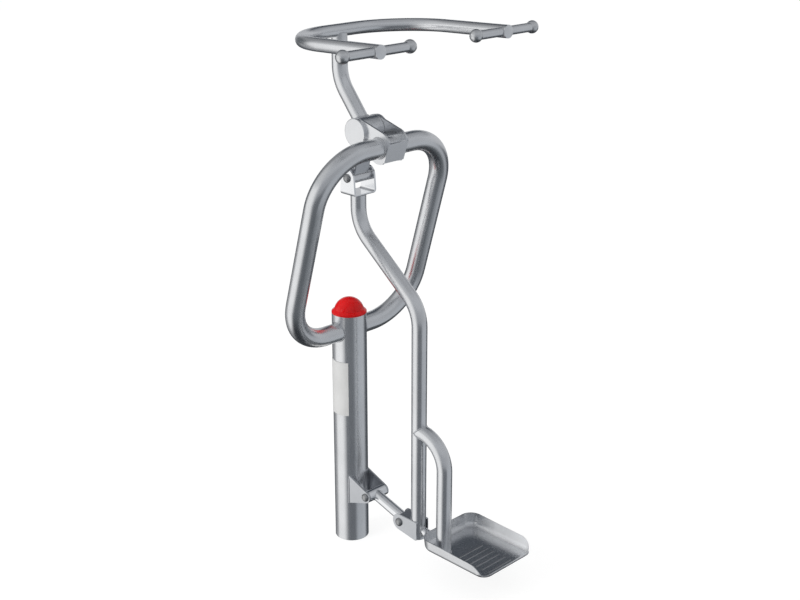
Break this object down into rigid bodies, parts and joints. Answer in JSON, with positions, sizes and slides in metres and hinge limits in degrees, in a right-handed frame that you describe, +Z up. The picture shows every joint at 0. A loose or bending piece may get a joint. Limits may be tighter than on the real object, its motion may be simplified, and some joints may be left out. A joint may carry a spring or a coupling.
{
  "type": "outdoor pull-up trainer",
  "caption": "Outdoor lever pull-up trainer: overhead handles on a hub arm lift a foot tray on a bent leg, guided by a link on a ground post with a loop frame.",
  "frame": {"origin": "centre of the post's foot plate, on the ground", "axes": "+Z up along the post, -Y towards the user and the tray, +X across along the hub and the grips"},
  "size_m": [0.988, 0.8569, 2.1508],
  "materials": {
    "steel": "satin stainless steel",
    "polished": "polished stainless steel",
    "bearing": "machined steel",
    "cap": "glossy red plastic",
    "bush": "natural bearing plastic",
    "buffer": "black rubber"
  },
  "bodies": {
    "post": {"post_tube": "steel", "post_foot": "steel", "post_cap": "cap", "loop_frame": "steel", "head_plate_left": "steel", "head_plate_right": "steel", "head_front_plate": "steel", "hub_axle": "bearing", "hub_cover_left": "steel", "hub_cover_right": "steel", "stop_block": "bearing", "post_bracket_left": "steel", "post_bracket_right": "steel", "link_pin": "polished", "link_pin_nut": "polished"},
    "lever": {"hub_sleeve": "steel", "hub_bearing_left": "bearing", "hub_bearing_right": "bearing", "stop_buffers": "buffer", "lever_arm": "steel", "arm_cap": "steel", "handlebar": "steel", "grip_left": "steel", "grip_right": "steel", "grip_balls": "polished", "handlebar_end_caps": "steel", "lug": "steel", "lug_eye": "steel", "lug_eye_bushes": "bush"},
    "leg": {"leg_fork": "steel", "fork_pin": "polished", "leg_tube": "steel", "foot_bracket": "steel", "foot_pin": "polished", "leg_pin_nuts": "polished", "brace_tube": "steel", "tray_stub": "steel", "foot_tray": "steel", "tread_bars": "steel"},
    "link": {"link_tube": "steel", "link_eye_upper": "steel", "link_eye_lower": "steel", "link_eye_bushes": "bush"}
  },
  "joints": [
    {"name": "lever_hinge", "type": "hinge", "parent": "post", "child": "lever", "pos_m": [0, -0.112, 1.752], "axis": [1, 0, 0], "range_deg": [0, 35]},
    {"name": "leg_hinge", "type": "hinge", "parent": "lever", "child": "leg", "pos_m": [0, -0.062, 1.569], "axis": [1, 0, 0], "range_deg": [-39.5, 0]},
    {"name": "link_hinge", "type": "hinge", "parent": "post", "child": "link", "pos_m": [0, -0.142, 0.2405], "axis": [1, 0, 0], "range_deg": [-25.3, 0]}
  ],
  "couplings": [
    {"joint": "leg_hinge", "follows": "lever_hinge", "ratio": -1.1267},
    {"joint": "link_hinge", "follows": "lever_hinge", "ratio": -0.7203}
  ]
}
